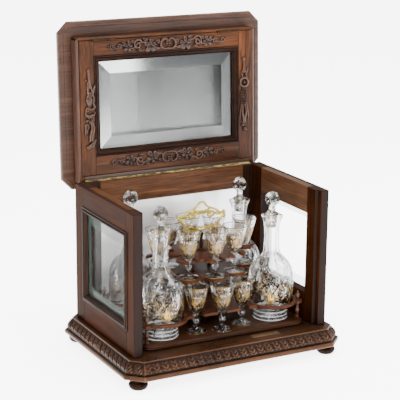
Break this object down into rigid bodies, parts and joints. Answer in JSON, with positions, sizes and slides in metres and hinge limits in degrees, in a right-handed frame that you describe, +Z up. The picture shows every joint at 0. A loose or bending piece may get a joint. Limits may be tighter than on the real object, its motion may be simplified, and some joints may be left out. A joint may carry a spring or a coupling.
{
  "type": "tantalus",
  "caption": "Glazed wooden liquor cabinet with a hinged lid, a front door that folds into the lid, and a lift-out tray of stoppered decanters and goblets.",
  "frame": {"origin": "on the surface that the feet stand on, below the middle of the open cabinet's outline", "axes": "+Z up, +X to the right of someone facing the door side, +Y towards the back"},
  "size_m": [0.382, 0.2974, 0.5197],
  "materials": {
    "walnut": "waxed",
    "dark_walnut": "waxed",
    "carved_walnut": "waxed",
    "tray_walnut": "polished",
    "crystal": "clear",
    "gilded_crystal": "clear with gilt decoration",
    "pane": "clear, bevelled edge",
    "mirror": "silvered",
    "hinge_brass": "satin",
    "aged_brass": "tarnished",
    "gilt_brass": "gilded, bright"
  },
  "bodies": {
    "case": {"back_frame": "walnut", "back_hinge_leaf": "hinge_brass", "back_mirror": "mirror", "base_board": "walnut", "base_moulding": "dark_walnut", "bun_feet": "walnut", "side_bead_left": "dark_walnut", "side_bead_right": "dark_walnut", "side_glass_left": "pane", "side_glass_right": "pane", "side_left": "walnut", "side_right": "walnut", "strike_plate": "aged_brass"},
    "lid": {"door_hinge_lid_leaves": "hinge_brass", "lid_board": "walnut", "lid_catch": "aged_brass", "lid_frieze": "walnut", "lid_hinge_leaf": "hinge_brass", "lid_hinge_pin": "hinge_brass", "lid_mirror": "mirror"},
    "door": {"door_bead": "dark_walnut", "door_catch_plate": "aged_brass", "door_frame": "walnut", "door_glass": "pane", "door_hinge_leaves": "hinge_brass", "door_hinge_pins": "hinge_brass", "garland_bottom": "carved_walnut", "garland_left": "carved_walnut", "garland_right": "carved_walnut", "garland_top": "carved_walnut"},
    "tray": {"corner_posts": "tray_walnut", "foot_shelf": "tray_walnut", "handle": "gilt_brass", "handle_stem": "gilt_brass", "ring_plate": "tray_walnut", "top_plate": "tray_walnut", "tray_base": "tray_walnut", "tray_columns": "tray_walnut"},
    "decanter_back_left": {"decanter_back_left": "crystal"},
    "decanter_back_right": {"decanter_back_right": "crystal"},
    "decanter_front_left": {"decanter_front_left": "crystal"},
    "decanter_front_right": {"decanter_front_right": "crystal"},
    "goblet_high_back_left": {"goblet_high_back_left": "gilded_crystal"},
    "goblet_high_back_middle": {"goblet_high_back_middle": "gilded_crystal"},
    "goblet_high_back_right": {"goblet_high_back_right": "gilded_crystal"},
    "goblet_high_end_left": {"goblet_high_end_left": "gilded_crystal"},
    "goblet_high_end_right": {"goblet_high_end_right": "gilded_crystal"},
    "goblet_high_front_left": {"goblet_high_front_left": "gilded_crystal"},
    "goblet_high_front_middle": {"goblet_high_front_middle": "gilded_crystal"},
    "goblet_high_front_right": {"goblet_high_front_right": "gilded_crystal"},
    "goblet_low_back_left": {"goblet_low_back_left": "gilded_crystal"},
    "goblet_low_back_middle": {"goblet_low_back_middle": "gilded_crystal"},
    "goblet_low_back_right": {"goblet_low_back_right": "gilded_crystal"},
    "goblet_low_front_left": {"goblet_low_front_left": "gilded_crystal"},
    "goblet_low_front_middle": {"goblet_low_front_middle": "gilded_crystal"},
    "goblet_low_front_right": {"goblet_low_front_right": "gilded_crystal"},
    "stopper_back_left": {"stopper_back_left": "crystal"},
    "stopper_back_right": {"stopper_back_right": "crystal"},
    "stopper_front_left": {"stopper_front_left": "crystal"},
    "stopper_front_right": {"stopper_front_right": "crystal"}
  },
  "joints": [
    {"name": "lid_hinge", "type": "hinge", "parent": "case", "child": "lid", "pos_m": [0, 0.10306, 0.268], "axis": [-1, 0, 0], "range_deg": [-92.33, 0]},
    {"name": "door_hinge", "type": "hinge", "parent": "lid", "child": "door", "pos_m": [0, 0.11216, 0.49161], "axis": [1, 0, 0], "range_deg": [-90, 0]},
    {"name": "tray_lift", "type": "slide", "parent": "case", "child": "tray", "axis": [0, 0, 1], "range_m": [0, 0.26]},
    {"name": "decanter_front_left_lift", "type": "slide", "parent": "tray", "child": "decanter_front_left", "axis": [0, 0, 1], "range_m": [0, 0.2]},
    {"name": "stopper_front_left_pull", "type": "slide", "parent": "decanter_front_left", "child": "stopper_front_left", "axis": [0, 0, 1], "range_m": [0, 0.045]},
    {"name": "decanter_front_right_lift", "type": "slide", "parent": "tray", "child": "decanter_front_right", "axis": [0, 0, 1], "range_m": [0, 0.2]},
    {"name": "stopper_front_right_pull", "type": "slide", "parent": "decanter_front_right", "child": "stopper_front_right", "axis": [0, 0, 1], "range_m": [0, 0.045]},
    {"name": "decanter_back_left_lift", "type": "slide", "parent": "tray", "child": "decanter_back_left", "axis": [0, 0, 1], "range_m": [0, 0.2]},
    {"name": "stopper_back_left_pull", "type": "slide", "parent": "decanter_back_left", "child": "stopper_back_left", "axis": [0, 0, 1], "range_m": [0, 0.045]},
    {"name": "decanter_back_right_lift", "type": "slide", "parent": "tray", "child": "decanter_back_right", "axis": [0, 0, 1], "range_m": [0, 0.2]},
    {"name": "stopper_back_right_pull", "type": "slide", "parent": "decanter_back_right", "child": "stopper_back_right", "axis": [0, 0, 1], "range_m": [0, 0.045]},
    {"name": "goblet_low_front_left_slide", "type": "slide", "parent": "tray", "child": "goblet_low_front_left", "axis": [0, -1, 0], "range_m": [0, 0.04]},
    {"name": "goblet_low_front_middle_slide", "type": "slide", "parent": "tray", "child": "goblet_low_front_middle", "axis": [0, -1, 0], "range_m": [0, 0.04]},
    {"name": "goblet_low_front_right_slide", "type": "slide", "parent": "tray", "child": "goblet_low_front_right", "axis": [0, -1, 0], "range_m": [0, 0.04]},
    {"name": "goblet_high_front_left_slide", "type": "slide", "parent": "tray", "child": "goblet_high_front_left", "axis": [0, -1, 0], "range_m": [0, 0.04]},
    {"name": "goblet_high_front_middle_slide", "type": "slide", "parent": "tray", "child": "goblet_high_front_middle", "axis": [0, -1, 0], "range_m": [0, 0.04]},
    {"name": "goblet_high_front_right_slide", "type": "slide", "parent": "tray", "child": "goblet_high_front_right", "axis": [0, -1, 0], "range_m": [0, 0.04]},
    {"name": "goblet_low_back_left_slide", "type": "slide", "parent": "tray", "child": "goblet_low_back_left", "axis": [0, 1, 0], "range_m": [0, 0.003]},
    {"name": "goblet_low_back_middle_slide", "type": "slide", "parent": "tray", "child": "goblet_low_back_middle", "axis": [0, 1, 0], "range_m": [0, 0.003]},
    {"name": "goblet_low_back_right_slide", "type": "slide", "parent": "tray", "child": "goblet_low_back_right", "axis": [0, 1, 0], "range_m": [0, 0.003]},
    {"name": "goblet_high_back_left_slide", "type": "slide", "parent": "tray", "child": "goblet_high_back_left", "axis": [0, 1, 0], "range_m": [0, 0.025]},
    {"name": "goblet_high_back_middle_slide", "type": "slide", "parent": "tray", "child": "goblet_high_back_middle", "axis": [0, 1, 0], "range_m": [0, 0.025]},
    {"name": "goblet_high_back_right_slide", "type": "slide", "parent": "tray", "child": "goblet_high_back_right", "axis": [0, 1, 0], "range_m": [0, 0.025]},
    {"name": "goblet_high_end_left_slide", "type": "slide", "parent": "tray", "child": "goblet_high_end_left", "axis": [-1, 0, 0], "range_m": [0, 0.04]},
    {"name": "goblet_high_end_right_slide", "type": "slide", "parent": "tray", "child": "goblet_high_end_right", "axis": [1, 0, 0], "range_m": [0, 0.04]}
  ]
}
